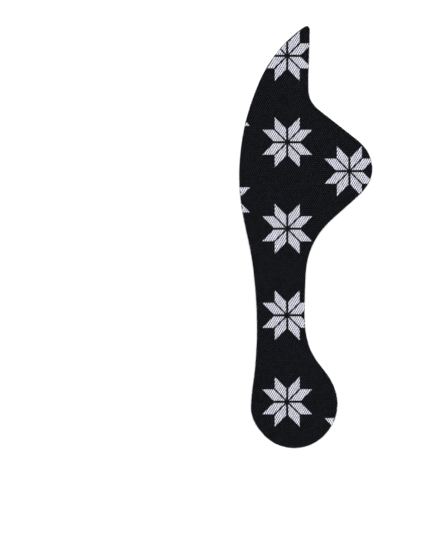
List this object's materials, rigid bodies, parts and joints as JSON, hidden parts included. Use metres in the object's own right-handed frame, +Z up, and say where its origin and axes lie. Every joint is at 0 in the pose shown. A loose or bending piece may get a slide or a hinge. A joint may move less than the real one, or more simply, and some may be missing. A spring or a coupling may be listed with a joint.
{
  "type": "pronation wedge insole",
  "caption": "Right-foot three-quarter wedge insole of moulded gel, thick along the inner arch and thin along the outer edge, under a glued knit cover.",
  "frame": {"origin": "middle of the outline's box, on the flat underside", "axes": "+Y towards the toes, +X towards the outer side of the foot, +Z up with the knitted side on top"},
  "size_m": [0.0645, 0.205, 0.0067],
  "materials": {
    "gel": "glossy moulded polyurethane gel, near black",
    "knit": "matte black knit with pale grey printed stars"
  },
  "bodies": {
    "root": {"gel_wedge": "gel", "top_cover": "knit"}
  },
  "joints": []
}
